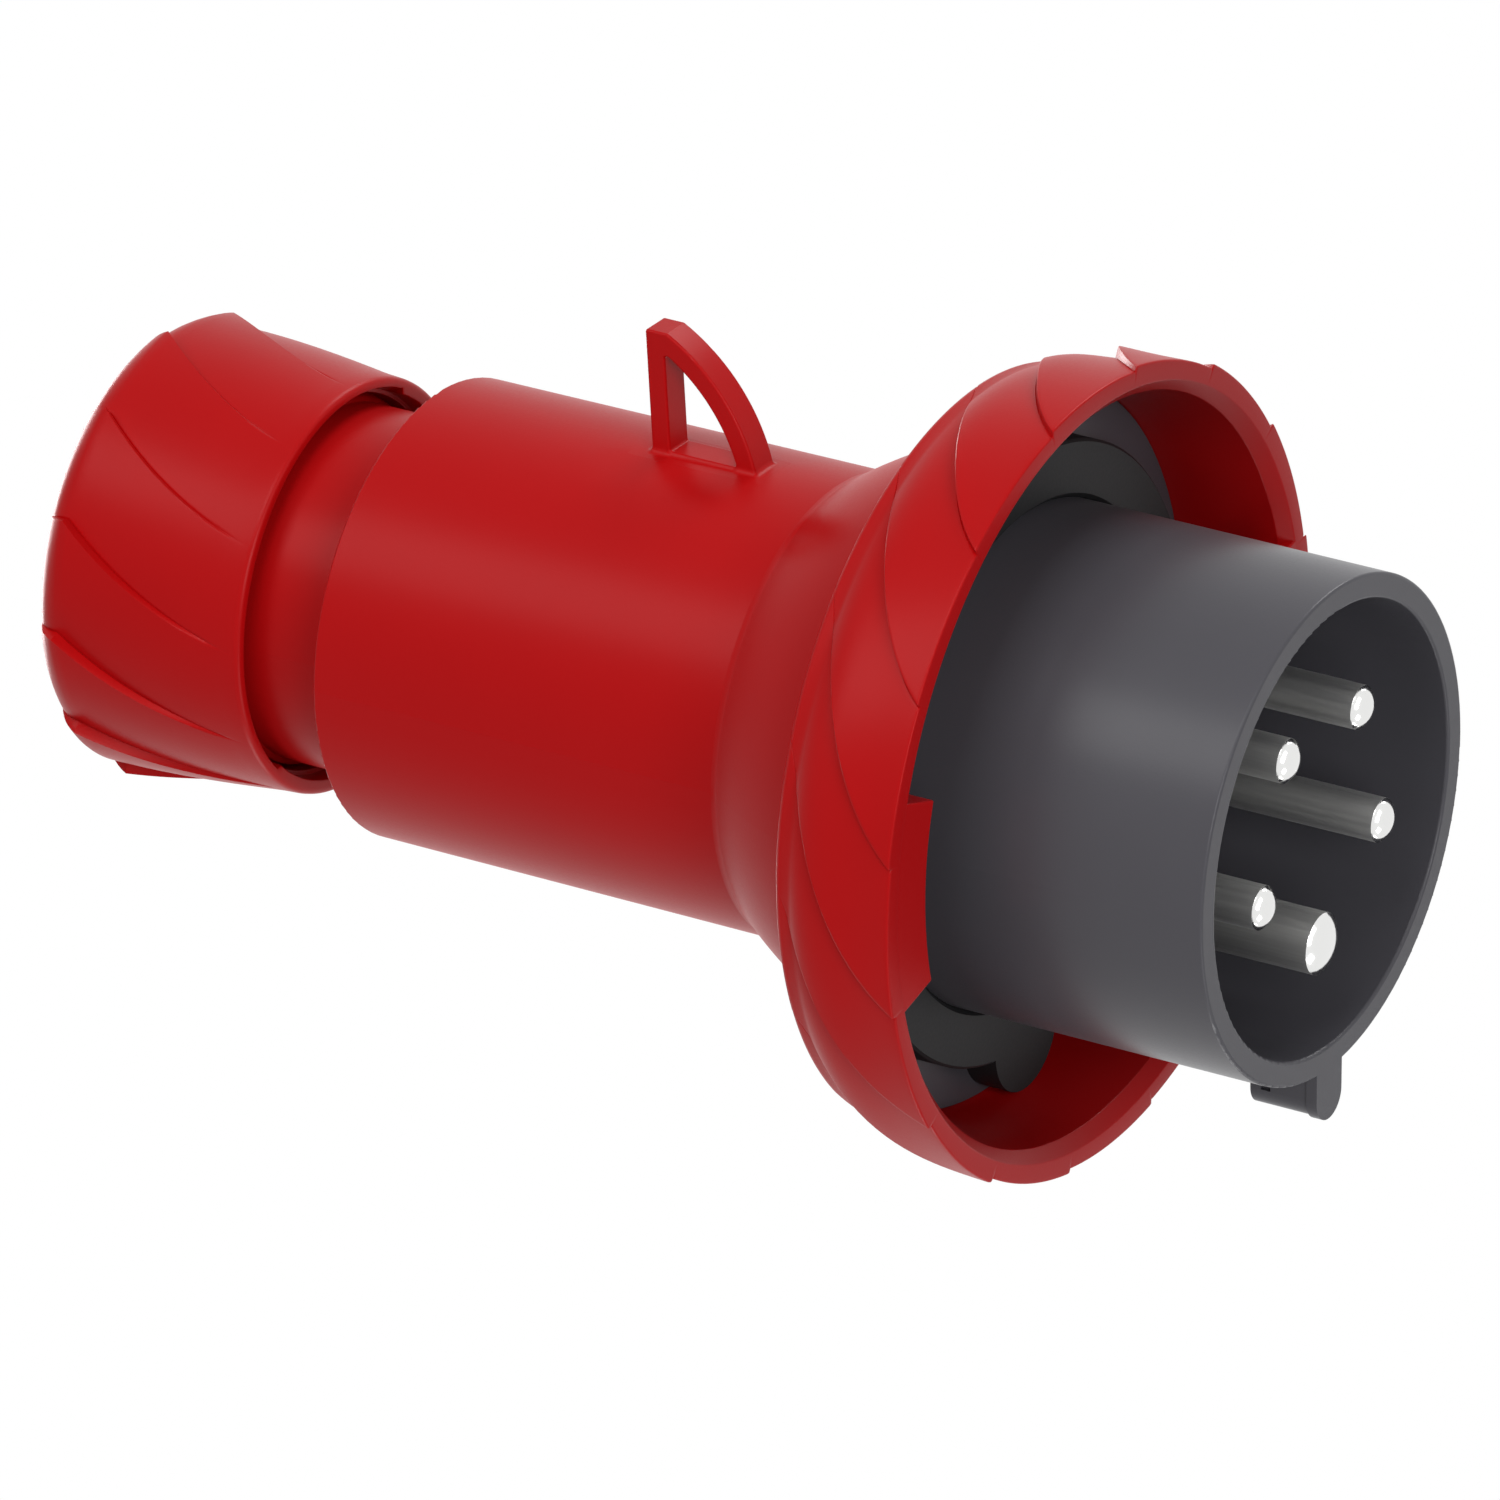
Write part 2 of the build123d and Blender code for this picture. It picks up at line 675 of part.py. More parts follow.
def wire_guards():
    """Pressure plate in each terminal, between the screws and the wire."""
    plates = []
    for name, (_, _, wire_r) in pin_sizes.items():
        top = wire_r - guard_thickness / 2
        half = (wire_r ** 2 - top ** 2) ** 0.5 - fit_gap
        plate = block(guard_thickness, 2 * half, guard_length, top - guard_thickness,
                      terminal_end - wire_depth + fit_gap)
        plates.append(at_pin(plate, name))
    return Compound(children=plates)


def pin_seals():
    """Rubber ring round each pin in its seat behind the plate."""
    rings = []
    for name, (pin_r, _, _) in pin_sizes.items():
        ring = tube(pin_r + pin_seal_wall, pin_r + fit_gap, plate_back - pin_seal_length, plate_back)
        rings.append(at_pin(ring, name))
    return Compound(children=rings)


def cage_r(z):
    """Outer radius of the clamping cage's fingers at a height."""
    return cage_root_r - cage_slope * (z - cage_cone_from)


def clamp_cage():
    """Cage of fingers on the end of the neck, bent in towards the cable, with dogs in the neck."""
    tip = cage_cone_from + cage_length
    bore_r = cage_root_r - cage_wall
    body = turned(
        (bore_r, neck_end + fit_gap), (cage_ring_r, neck_end + fit_gap), (cage_ring_r, cage_cone_from),
        (cage_root_r, cage_cone_from), (cage_tip_r, tip), (cage_tip_r - cage_wall, tip),
        (bore_r, cage_cone_from),
    )
    slot = block(cage_root_r, cage_slot, cage_length + 1, 0, cage_cone_from)
    for copy in round_copies(slot, cage_fingers, 180 / cage_fingers):
        body -= copy
    dog = block(cage_ring_r - bore_r - 0.5, dog_width, dog_length, bore_r, neck_end - dog_length + fit_gap)
    dog += block(cage_ring_r - bore_r - 0.5, dog_width, cage_ring_length, bore_r, neck_end)
    return body + round_copies(dog, cage_dogs)


def thrust_ring():
    """Ring with a cone inside that the gland nut drives over the fingers of the cage."""
    return turned(
        (cage_r(thrust_from) + turning_gap, thrust_from), (thrust_r, thrust_from),
        (thrust_r, thrust_end - thrust_bevel), (thrust_r - thrust_bevel, thrust_end),
        (cage_r(thrust_end) + turning_gap, thrust_end),
    )


def cable_sleeve():
    """Outer rubber sleeve in the neck, tapered inside the cage, with a floor for the inner one."""
    gap = cage_wall + assembly_gap
    bore_r = reducer_r + fit_gap
    return turned(
        (sleeve_floor_r, seal_seat + fit_gap), (sleeve_r, seal_seat + fit_gap), (sleeve_r, cage_cone_from),
        (cage_r(sleeve_end) - gap, sleeve_end), (bore_r, sleeve_end), (bore_r, seal_seat + sleeve_floor),
        (sleeve_floor_r, seal_seat + sleeve_floor),
    )


def cable_reducer():
    """Inner rubber sleeve, taken out for a thick cable."""
    low = seal_seat + sleeve_floor + fit_gap
    return tube(reducer_r, reducer_r - reducer_wall, low, sleeve_end)


def nut_outside_r(z):
    """Low radius of the nut's cone at a height."""
    return nut_front_r + (nut_rear_r - nut_front_r) * (z - nut_front) / (nut_crease_z - nut_front)


def nut_rib():
    """One rib of the nut: high at the rear, climbing round the nut to its step, fading forwards."""
    sections = []
    for index in range(nut_rib_sections):
        share = index / (nut_rib_sections - 1)
        ahead = nut_rib_length * (1 - share)
        z = nut_crease_z - ahead
        high_end = nut_rib_phase - nut_rib_swirl * ahead + nut_rib_curl * ahead ** 2
        low_end = high_end - 360 / nut_ribs - nut_rib_overlap
        low = nut_outside_r(z)
        rise = nut_rib_end_rise + (nut_rib_rise - nut_rib_end_rise) * share
        outline = sector_wire(nut_bore_r, low_end, high_end, z, low, low + rise)
        sections.append(make_face(outline))
    return loft(sections)


def gland_nut():
    """Conical cap nut with swirling ribs, a thread bore, and a mouth for the cable."""
    slope = (nut_rear_r - nut_front_r) / (nut_crease_z - nut_front)
    core = spun([
        Polyline((nut_mouth_r, nut_end), (nut_mouth_r, nut_end - nut_mouth_wall), (nut_bore_r, nut_front),
                 (nut_front_r, nut_front), (nut_rear_r, nut_crease_z)),
        TangentArc((nut_rear_r, nut_crease_z), (nut_end_r, nut_end), tangent=(slope, 1)),
        Line((nut_end_r, nut_end), (nut_mouth_r, nut_end)),
    ])
    front = core.edges().filter_by(GeomType.CIRCLE).filter_by_position(Axis.Z, nut_front, nut_front)
    core = fillet(front.sort_by(SortBy.RADIUS)[-1], nut_front_edge)
    body = core + round_copies(nut_rib(), nut_ribs)
    body -= nut_inside()
    return body


def nut_inside():
    """Space inside the nut: lip, thread bore, chamber for the thrust ring and the cable mouth."""
    chamber_end = thrust_end + turning_gap
    space = turned(
        (0, nut_front - 1), (nut_lip_r, nut_front - 1), (nut_lip_r, nut_front + nut_lip_length),
        (nut_bore_r, nut_front + nut_lip_length), (nut_bore_r, thrust_end - thrust_bevel),
        (thrust_r - thrust_bevel + turning_gap, chamber_end), (nut_mouth_r, chamber_end),
        (nut_mouth_r, nut_end + 1), (0, nut_end + 1),
    )
    relief = arc_block(nut_lip_r - 1, nut_lip_r + nut_lip_relief, nut_lip_relief_from,
                       nut_lip_relief_to, nut_front - 1, nut_front + nut_lip_length)
    return space + relief


write(front_insert(), "front_insert")
write(face_seal(), "face_seal")
write(gasket(), "insert_gasket")
write(coupling_ring(), "coupling_ring")
write(housing(), "housing")
write(hanging_loop(), "hanging_loop")
write(contact_carrier(), "contact_carrier")
write(carrier_screw(), "carrier_screw")
for name, sizes in pin_sizes.items():
    write(at_pin(pin(*sizes), name), f"pin_{name}")
write(pin_seals(), "pin_seals")
write(terminal_screws(), "terminal_screws")
write(wire_guards(), "wire_guards")
write(cable_sleeve(), "cable_sleeve")
write(cable_reducer(), "cable_reducer")
write(clamp_cage(), "clamp_cage")
write(thrust_ring(), "thrust_ring")
write(gland_nut(), "gland_nut")
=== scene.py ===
"""Industrial pin and sleeve plug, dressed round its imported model."""
from math import cos, pi, radians, sin

import bmesh
import bpy
from mathutils import Matrix, Vector


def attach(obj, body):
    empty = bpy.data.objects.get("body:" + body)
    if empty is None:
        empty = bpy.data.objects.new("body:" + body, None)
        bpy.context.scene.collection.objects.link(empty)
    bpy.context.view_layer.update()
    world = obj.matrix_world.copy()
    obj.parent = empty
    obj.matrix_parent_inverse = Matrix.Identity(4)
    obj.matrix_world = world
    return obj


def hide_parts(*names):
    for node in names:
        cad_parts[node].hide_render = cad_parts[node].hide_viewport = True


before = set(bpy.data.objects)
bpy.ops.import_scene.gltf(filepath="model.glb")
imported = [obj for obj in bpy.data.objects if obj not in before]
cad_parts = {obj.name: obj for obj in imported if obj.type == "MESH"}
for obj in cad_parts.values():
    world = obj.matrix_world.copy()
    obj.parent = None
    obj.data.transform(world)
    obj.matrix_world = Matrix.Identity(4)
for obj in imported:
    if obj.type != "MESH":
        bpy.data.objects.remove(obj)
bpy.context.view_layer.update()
scene = bpy.context.scene


# Camera: a long lens that looks up at the plug from below its rim, as in the photograph,
# where the plug lies on its side.
rim_distance = 1.89285
shift_right, shift_down = 0.062759, 0.008676
to_camera = Vector((0.778407, 0.416559, -0.469639)).normalized()
image_right = Vector((-0.516593, 0.0, -0.856231)).normalized()
image_up = to_camera.cross(image_right)
lens_data = bpy.data.cameras.new("camera")
lens_data.sensor_width = 36.0
lens_data.lens = 422.056
lens_data.clip_start = 0.1
lens_data.clip_end = 20.0
camera = bpy.data.objects.new("camera", lens_data)
scene.collection.objects.link(camera)
turn = Matrix((image_right, image_up, to_camera)).transposed().to_4x4()
spot = to_camera * rim_distance - image_right * shift_right + image_up * shift_down
camera.matrix_world = Matrix.Translation(spot) @ turn
scene.camera = camera


# Studio: a white room with a pale floor that holds the plug's shadow, and large soft lamps
# that hang round the plug. The floor is clear from underneath, where the camera is.
def wired(tree, kind, feeds=(), **settings):
    """Node of a kind in a tree, with its settings and with what feeds each of its inputs."""
    node = tree.nodes.new(kind)
    for name, value in settings.items():
        setattr(node, name, value)
    for socket, source in dict(feeds).items():
        if isinstance(source, bpy.types.NodeSocket):
            tree.links.new(source, node.inputs[socket])
        else:
            node.inputs[socket].default_value = source
    return node


def worked(tree, operation, *terms):
    """Output of one math node."""
    return wired(tree, "ShaderNodeMath", dict(enumerate(terms)), operation=operation).outputs[0]


world = bpy.data.worlds.new("studio")
world.use_nodes = True
scene.world = world
scene.view_settings.view_transform = "Standard"
sky = world.node_tree
sky.nodes.clear()
room_light = wired(sky, "ShaderNodeBackground", {"Color": (1.0, 1.0, 1.0, 1.0), "Strength": 0.25})
room_white = wired(sky, "ShaderNodeBackground", {"Color": (1.0, 1.0, 1.0, 1.0), "Strength": 1.0})
ray = wired(sky, "ShaderNodeLightPath")
seen = worked(sky, "MAXIMUM", ray.outputs["Is Camera Ray"], ray.outputs["Is Glossy Ray"])
seen = worked(sky, "MAXIMUM", seen, ray.outputs["Is Transmission Ray"])
room = wired(sky, "ShaderNodeMixShader",
             {0: seen, 1: room_light.outputs[0], 2: room_white.outputs[0]})
wired(sky, "ShaderNodeOutputWorld", {"Surface": room.outputs[0]})

floor_mesh = bpy.data.meshes.new("floor")
floor_mesh.from_pydata([(-3, -3, 0), (3, -3, 0), (3, 3, 0), (-3, 3, 0)], [], [(0, 1, 2, 3)])
floor = bpy.data.objects.new("floor", floor_mesh)
scene.collection.objects.link(floor)
floor_mat = bpy.data.materials.new("floor")
floor_mat.use_nodes = True
floor_tree = floor_mat.node_tree
floor_paint = floor_tree.nodes["Principled BSDF"]
floor_paint.inputs["Base Color"].default_value = (0.86, 0.86, 0.86, 1.0)
floor_paint.inputs["Roughness"].default_value = 0.6
floor_clear = wired(floor_tree, "ShaderNodeBsdfTransparent")
floor_side = wired(floor_tree, "ShaderNodeNewGeometry")
floor_mix = wired(floor_tree, "ShaderNodeMixShader", {
    0: floor_side.outputs["Backfacing"], 1: floor_paint.outputs[0], 2: floor_clear.outputs[0]})
floor_tree.links.new(floor_mix.outputs[0], floor_tree.nodes["Material Output"].inputs["Surface"])
floor_mesh.materials.append(floor_mat)
floor.visible_diffuse = False
floor.visible_glossy = False
floor.visible_transmission = False
floor.visible_shadow = False


lamp_side, lamp_distance, plug_middle = 0.55, 1.3, Vector((0, 0, 0.075))


def lamp(name, direction, watts):
    """Square soft lamp that faces the middle of the plug."""
    data = bpy.data.lights.new(name, "AREA")
    data.shape = "SQUARE"
    data.size = lamp_side
    data.energy = watts
    away = Vector(direction).normalized()
    thing = bpy.data.objects.new(name, data)
    facing = away.to_track_quat("Z", "Y").to_matrix().to_4x4()
    thing.matrix_world = Matrix.Translation(away * lamp_distance + plug_middle) @ facing
    scene.collection.objects.link(thing)


lamp("lamp_loop_side", (0.53, 0.85, 0.0), 5.0)
lamp("lamp_mouth_side", (0.62, 0.33, -0.71), 6.0)
lamp("lamp_mouth_loop_side", (0.20, 0.68, -0.71), 1.6)
lamp("lamp_mouth_key_side", (0.33, -0.62, -0.71), 2.6)
lamp("lamp_cable_side", (0.59, 0.66, 0.47), 3.3)
lamp("lamp_far_loop_side", (-0.74, 0.67, 0.0), 5.0)
lamp("lamp_far_key_side", (0.14, -0.99, 0.0), 4.0)
lamp("lamp_top", (-0.44, -0.24, 0.87), 7.0)


# Housing: glass-filled polyamide, injection moulded in red together with its hanging loop.
# The mould's spark-eroded cavity leaves a fine satin grain on it.
def finish_group(name, inputs):
    """Empty node group of a finish; gives the group, its inputs and the Object coordinates."""
    group = bpy.data.node_groups.new(name, "ShaderNodeTree")
    for socket, kind, value in inputs:
        made = group.interface.new_socket(socket, in_out="INPUT", socket_type="NodeSocket" + kind)
        made.default_value = value
    for socket, kind in (("Color", "Color"), ("Roughness", "Float"), ("Height", "Float")):
        group.interface.new_socket(socket, in_out="OUTPUT", socket_type="NodeSocket" + kind)
    given = wired(group, "NodeGroupInput").outputs
    return group, given, wired(group, "ShaderNodeTexCoord").outputs["Object"]


def noise(group, place, scale, detail):
    """Output of one noise texture."""
    return wired(group, "ShaderNodeTexNoise",
                 {"Vector": place, "Scale": scale, "Detail": detail}).outputs[0]


def patchy(group, value):
    """A noise's value, stretched so that it covers nearly all from 0 to 1."""
    return wired(group, "ShaderNodeMapRange",
                 {"Value": value, "From Min": 0.3, "From Max": 0.7}).outputs[0]


def tinted(group, given, share):
    """Colour between a finish's Color and its Shade."""
    tint = wired(group, "ShaderNodeMix", data_type="RGBA")
    for source, socket in ((share, "Factor"), (given["Color"], "A"), (given["Shade"], "B")):
        group.links.new(source, tint.inputs[socket])
    return tint.outputs["Result"]


def moulded_finish():
    """Node group: a moulded skin's colour, roughness and grain."""
    group, given, place = finish_group("moulded_finish", (
        ("Color", "Color", (0.5, 0.5, 0.5, 1.0)), ("Shade", "Color", (0.4, 0.4, 0.4, 1.0)),
        ("Roughness", "Float", 0.4), ("Grain Size", "Float", 4000.0),
        ("Cloud Size", "Float", 40.0)))
    cloud = patchy(group, noise(group, place, given["Cloud Size"], 3.0))
    grain = noise(group, place, given["Grain Size"], 2.0)
    satin = worked(group, "MULTIPLY_ADD", grain, roughness_swing, given["Roughness"])
    wired(group, "NodeGroupOutput",
          {"Color": tinted(group, given, cloud), "Roughness": satin, "Height": grain})
    return group


roughness_swing = 0.1
skin = moulded_finish()


def moulded(name, color, shade, roughness, gloss, grain_size, grain_depth):
    """Material of a moulded plastic or rubber piece."""
    material = bpy.data.materials.new(name)
    material.use_nodes = True
    tree = material.node_tree
    body = tree.nodes["Principled BSDF"]
    body.inputs["IOR"].default_value = 1.5
    body.inputs["Specular IOR Level"].default_value = gloss
    finish = wired(tree, "ShaderNodeGroup", node_tree=skin)
    for socket, value in (("Color", (*color, 1.0)), ("Shade", (*shade, 1.0)),
                          ("Roughness", roughness), ("Grain Size", grain_size)):
        finish.inputs[socket].default_value = value
    bump = wired(tree, "ShaderNodeBump",
                 {"Strength": 0.35, "Distance": grain_depth, "Height": finish.outputs["Height"]})
    tree.links.new(finish.outputs["Color"], body.inputs["Base Color"])
    tree.links.new(finish.outputs["Roughness"], body.inputs["Roughness"])
    tree.links.new(bump.outputs["Normal"], body.inputs["Normal"])
    return material


def coat(material, *nodes):
    """Give carried-over nodes their material."""
    for node in nodes:
        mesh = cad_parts[node].data
        mesh.materials.clear()
        mesh.materials.append(material)


red = moulded("red_polyamide", (0.45, 0.0036, 0.0046), (0.43, 0.0032, 0.0041),
              roughness=0.29, gloss=0.11, grain_size=3500.0, grain_depth=0.00002)
coat(red, "housing", "hanging_loop")


# Thread on the neck: a coarse trapezoid thread moulded on the housing, which the gland nut
# climbs in three turns. It runs out to nothing at both ends.
def grown(name, body, tree, sizes, outline=None):
    """Plain mesh piece that a geometry tree grows from an outline, with its named inputs set."""
    piece = bpy.data.objects.new(name, outline or bpy.data.meshes.new(name))
    scene.collection.objects.link(piece)
    growth = piece.modifiers.new("growth", "NODES")
    growth.node_group = tree
    for socket in tree.interface.items_tree:
        if socket.in_out == "INPUT" and socket.name in sizes:
            growth[socket.identifier] = sizes[socket.name]
    seen_piece = piece.evaluated_get(bpy.context.evaluated_depsgraph_get())
    mesh = bpy.data.meshes.new_from_object(seen_piece)
    piece.modifiers.remove(growth)
    piece.data = mesh
    work = bmesh.new()
    work.from_mesh(mesh)
    bmesh.ops.recalc_face_normals(work, faces=work.faces)
    work.to_mesh(mesh)
    work.free()
    mesh.shade_smooth()
    mesh.set_sharp_from_angle(angle=radians(38))
    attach(piece, body)
    return piece


def outline_of(name, points):
    """Line mesh of a cross-section from (radius, height, lift) points in millimetres."""
    mesh = bpy.data.meshes.new(name)
    mesh.from_pydata([(radius / 1000, 0, height / 1000) for radius, height, _ in points],
                     [(index, index + 1) for index in range(len(points) - 1)], [])
    lift = mesh.attributes.new("lift", "FLOAT", "POINT")
    lift.data.foreach_set("value", [point[2] / 1000 for point in points])
    return mesh


def tree_with(name, sockets):
    """Empty geometry tree with its named inputs; gives the tree and its input sockets."""
    tree = bpy.data.node_groups.new(name, "GeometryNodeTree")
    for socket, kind in sockets.items():
        tree.interface.new_socket(socket, in_out="INPUT", socket_type="NodeSocket" + kind)
    tree.interface.new_socket("Piece", in_out="OUTPUT", socket_type="NodeSocketGeometry")
    return tree, wired(tree, "NodeGroupInput").outputs


def outline_grid(tree, given, columns):
    """Grid with a row for each point of the outline; gives its mesh, each vertex's share of the
    way along the columns, and the outline's own place and lift at its row."""
    size = wired(tree, "GeometryNodeAttributeDomainSize", {"Geometry": given["Outline"]})
    count = size.outputs["Point Count"]
    grid = wired(tree, "GeometryNodeMeshGrid",
                 {"Size X": 1.0, "Size Y": 1.0, "Vertices X": columns, "Vertices Y": count})
    position = wired(tree, "GeometryNodeInputPosition").outputs[0]
    spot_xyz = wired(tree, "ShaderNodeSeparateXYZ", {0: position}).outputs
    share = worked(tree, "ADD", spot_xyz["X"], 0.5)
    row = worked(tree, "ADD", spot_xyz["Y"], 0.5)
    row = worked(tree, "ROUND", worked(tree, "MULTIPLY", row, worked(tree, "SUBTRACT", count, 1.0)))
    place = wired(tree, "GeometryNodeSampleIndex", data_type="FLOAT_VECTOR")
    lift = wired(tree, "GeometryNodeSampleIndex", data_type="FLOAT")
    lift_name = wired(tree, "GeometryNodeInputNamedAttribute", {"Name": "lift"}, data_type="FLOAT")
    for node, source in ((place, position), (lift, lift_name.outputs[0])):
        tree.links.new(given["Outline"], node.inputs["Geometry"])
        tree.links.new(source, node.inputs["Value"])
        tree.links.new(row, node.inputs["Index"])
    place_xyz = wired(tree, "ShaderNodeSeparateXYZ", {0: place.outputs[0]}).outputs
    return grid.outputs["Mesh"], share, place_xyz["X"], place_xyz["Z"], lift.outputs[0]


def wrapped(tree, mesh, radius, height, angle):
    """Mesh whose vertices are set by their radius, height and angle round the plug's axis."""
    flat = wired(tree, "ShaderNodeCombineXYZ", {"X": radius, "Z": height}).outputs[0]
    around = wired(tree, "ShaderNodeVectorRotate", {"Vector": flat, "Angle": angle},
                   rotation_type="Z_AXIS").outputs[0]
    return wired(tree, "GeometryNodeSetPosition", {"Geometry": mesh, "Position": around}).outputs[0]


def closed(tree, mesh, material):
    """End of a tree: instances made real, doubles merged, and the material set."""
    real = wired(tree, "GeometryNodeRealizeInstances", {0: mesh}).outputs[0]
    whole = wired(tree, "GeometryNodeMergeByDistance",
                  {"Geometry": real, "Distance": 0.000002}).outputs[0]
    dressed = wired(tree, "GeometryNodeSetMaterial",
                    {"Geometry": whole, "Material": material}).outputs[0]
    wired(tree, "NodeGroupOutput", {0: dressed})


def thread_tree():
    """Tree: a ridge that winds up the axis and runs out at both ends."""
    tree, given = tree_with("thread", {"Outline": "Geometry", "Turns": "Float", "Pitch": "Float",
                                       "Root": "Float", "Columns": "Int", "Material": "Material"})
    mesh, share, radius, height, _ = outline_grid(tree, given, given["Columns"])
    fades = (
        wired(tree, "ShaderNodeMapRange",
              {"Value": share, "From Min": end, "From Max": full}).outputs[0]
        for end, full in ((0.0, run_out), (1.0, 1.0 - run_out)))
    fade = worked(tree, "MULTIPLY", *fades)
    proud = worked(tree, "MULTIPLY", worked(tree, "SUBTRACT", radius, given["Root"]), fade)
    turned = worked(tree, "MULTIPLY", share, given["Turns"])
    flank = worked(tree, "MULTIPLY", height, fade)
    climb = worked(tree, "MULTIPLY_ADD", turned, given["Pitch"], flank)
    placed = wrapped(tree, mesh, worked(tree, "ADD", given["Root"], proud), climb,
                     worked(tree, "MULTIPLY", turned, 2 * pi))
    closed(tree, placed, given["Material"])
    return tree


run_out = 0.06
thread_root, thread_shoulder, thread_crest, thread_start = 20.93, 21.34, 21.38, 128.7
ridge = [(thread_root, -0.95, 0), (thread_shoulder, -0.5, 0), (thread_crest, -0.44, 0),
         (thread_crest, 0.44, 0), (thread_shoulder, 0.5, 0), (thread_root, 0.95, 0)]
thread = grown("neck_thread", "plug", thread_tree(),
               {"Turns": 2.9, "Pitch": 0.003, "Root": thread_root / 1000, "Columns": 260,
                "Material": red},
               outline_of("ridge", ridge + ridge[:1]))
thread.data.transform(Matrix.Translation((0, 0, thread_start / 1000)))


# Front insert and contact carrier: dark grey polyamide. The insert is the shroud with its key,
# the pin plate and the flange in one moulding, and the carrier behind it clamps the contacts.
slate = moulded("slate_polyamide", (0.072, 0.070, 0.081), (0.067, 0.065, 0.075),
                roughness=0.26, gloss=0.25, grain_size=3500.0, grain_depth=0.00002)
coat(slate, "front_insert", "contact_carrier")


# Seals: black rubber. The face seal is a collar with a tab at the key's side, and a gasket,
# the pins' rings and the two cable sleeves keep water out further in.
rubber = moulded("black_rubber", (0.015, 0.015, 0.016), (0.012, 0.012, 0.013),
                 roughness=0.5, gloss=0.2, grain_size=2500.0, grain_depth=0.00003)
coat(rubber, "face_seal", "insert_gasket", "pin_seals", "cable_sleeve", "cable_reducer")


# Coupling ring: red polyamide, a bell whose outside is sixteen overlapping blades that swirl
# back and fade out. Hands turn it, so each blade's edge is a grip.
def eased(corners, steps=4, most_of_side=0.45):
    """Closed outline through (radius, height, rounding, lift) corners in millimetres, rounded."""
    points = []
    for index, (radius, height, rounding, lift) in enumerate(corners):
        here = Vector((radius, height, lift))
        if not rounding:
            points.append(here)
            continue
        ends = []
        for other in (corners[index - 1], corners[(index + 1) % len(corners)]):
            side = Vector((other[0], other[1], other[3])) - here
            ends.append(here + side * min(rounding / Vector(side[:2]).length, most_of_side))
        for step in range(steps + 1):
            share = step / steps
            points.append(ends[0].lerp(here, share).lerp(here.lerp(ends[1], share), share))
    return points + points[:1]


def repeated(tree, mesh, count, step):
    """Instances of a mesh round the plug's axis, a step apart."""
    spots = wired(tree, "GeometryNodeMeshLine", {"Count": count, "Offset": (0.0, 0.0, 0.0)})
    number = wired(tree, "GeometryNodeInputIndex").outputs[0]
    turn_xyz = wired(tree, "ShaderNodeCombineXYZ", {"Z": worked(tree, "MULTIPLY", number, step)})
    rotation = wired(tree, "FunctionNodeEulerToRotation", {0: turn_xyz.outputs[0]}).outputs[0]
    return wired(tree, "GeometryNodeInstanceOnPoints", {
        "Points": spots.outputs[0], "Instance": mesh, "Rotation": rotation}).outputs[0]


def blade_tree():
    """Tree: a shell whose outside climbs round each blade and drops at the next one, with a fine
    groove at the drop's foot."""
    tree, given = tree_with("bladed_shell", {
        "Outline": "Geometry", "Blades": "Int", "Phase": "Float", "Way": "Float",
        "Swirl From": "Float", "Swirl Way": "Float", "Swirl": "Float", "Curl": "Float",
        "Edge": "Float", "Groove": "Float", "Columns": "Int", "Material": "Material"})
    mesh, share, radius, height, lift = outline_grid(tree, given, given["Columns"])
    along = worked(tree, "COSINE", worked(tree, "MULTIPLY", share, pi))
    along = worked(tree, "MULTIPLY_ADD", along, -0.5, 0.5)
    edge = wired(tree, "ShaderNodeMapRange", {"Value": along, "From Max": given["Edge"]},
                 interpolation_type="SMOOTHSTEP").outputs[0]
    fold_from = worked(tree, "SUBTRACT", 1.0, given["Edge"])
    fold = wired(tree, "ShaderNodeMapRange", {"Value": along, "From Min": fold_from},
                 interpolation_type="SMOOTHSTEP").outputs[0]
    groove = worked(tree, "MINIMUM", lift, given["Groove"])
    foot = worked(tree, "MULTIPLY", groove, worked(tree, "SUBTRACT", fold, edge))
    high = worked(tree, "MULTIPLY", edge, worked(tree, "SUBTRACT", 1.0, along))
    high = worked(tree, "MULTIPLY_ADD", lift, high, radius)
    high = worked(tree, "SUBTRACT", worked(tree, "SUBTRACT", high, groove), foot)
    depth = worked(tree, "SUBTRACT", height, given["Swirl From"])
    depth = worked(tree, "MAXIMUM", worked(tree, "MULTIPLY", depth, given["Swirl Way"]), 0.0)
    swirl = worked(tree, "MULTIPLY_ADD", depth, given["Curl"], given["Swirl"])
    swirl = worked(tree, "MULTIPLY", depth, swirl)
    pitch = worked(tree, "DIVIDE", 2 * pi, given["Blades"])
    angle = worked(tree, "MULTIPLY", along, given["Way"])
    angle = worked(tree, "MULTIPLY_ADD", angle, pitch, swirl)
    angle = worked(tree, "ADD", angle, given["Phase"])
    blade = wrapped(tree, mesh, high, height, angle)
    closed(tree, repeated(tree, blade, given["Blades"], pitch), given["Material"])
    return tree


